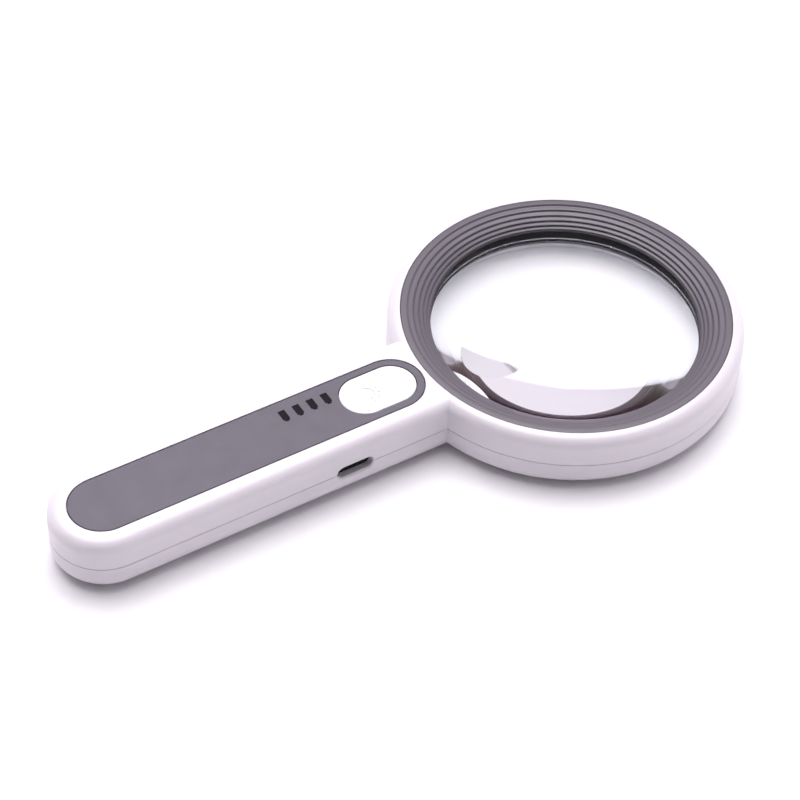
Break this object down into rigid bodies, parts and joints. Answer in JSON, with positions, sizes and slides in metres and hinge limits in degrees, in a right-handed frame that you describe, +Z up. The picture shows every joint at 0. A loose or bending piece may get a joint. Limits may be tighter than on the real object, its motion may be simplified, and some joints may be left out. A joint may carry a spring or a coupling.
{
  "type": "low vision magnifier",
  "caption": "Hand-held low vision magnifier: round biconvex lens with a small stronger lens, ribbed bezel, ring light, straight handle with push button and charging socket.",
  "frame": {"origin": "centre of the whole object's box, on the flat underside", "axes": "+X from the handle's round end to the lens, +Z up through the lens towards the user's eye, charging socket on the -Y side"},
  "size_m": [0.2066, 0.0992, 0.0182],
  "materials": {
    "white_casing": "satin",
    "grey_trim": "fine matte",
    "dark_trim": "matte",
    "white_button": "satin",
    "lens_acrylic": "polished clear",
    "smoked_clear": "smoked clear",
    "opal_diffuser": "opal",
    "black_rubber": "matte",
    "circuit_board": "solder mask",
    "white_board": "white solder mask",
    "black_plastic": "moulded",
    "led_body": "phosphor",
    "bright_steel": "zinc plated",
    "cell_wrap": "foil pouch",
    "red_lead": "insulated",
    "black_lead": "insulated",
    "dark_nickel": "black nickel"
  },
  "bodies": {
    "casing": {"upper_shell": "white_casing", "lower_shell": "white_casing", "magnifying_lens": "lens_acrylic", "lens_gasket": "black_rubber", "lens_retainer": "dark_trim", "lens_bezel": "grey_trim", "handle_panel": "grey_trim", "indicator_light_guide": "smoked_clear", "main_board": "circuit_board", "switch_body": "black_plastic", "switch_dome": "bright_steel", "usb_socket_shell": "dark_nickel", "usb_socket_tongue": "black_plastic", "indicator_leds": "led_body", "board_chips": "black_plastic", "board_passives": "led_body", "battery_cell": "cell_wrap", "battery_board": "circuit_board", "battery_pad": "black_rubber", "battery_lead_red": "red_lead", "battery_lead_black": "black_lead", "led_board": "white_board", "ring_leds": "led_body", "led_diffuser": "opal_diffuser", "led_lead_red": "red_lead", "led_lead_black": "black_lead", "handle_screws": "bright_steel", "head_screws": "bright_steel", "board_screws": "bright_steel"},
    "button": {"power_button": "white_button"},
    "plunger": {"switch_plunger": "black_plastic"}
  },
  "joints": [
    {"name": "button_press", "type": "slide", "parent": "casing", "child": "button", "axis": [0, 0, -1], "range_m": [0, 0.0005], "stiffness_N_per_m": 1500, "springref_m": -0.0003},
    {"name": "plunger_press", "type": "slide", "parent": "casing", "child": "plunger", "axis": [0, 0, -1], "range_m": [0, 0.0005], "deforming": ["switch_dome"]}
  ],
  "couplings": [
    {"joint": "plunger_press", "follows": "button_press", "ratio": 1}
  ]
}
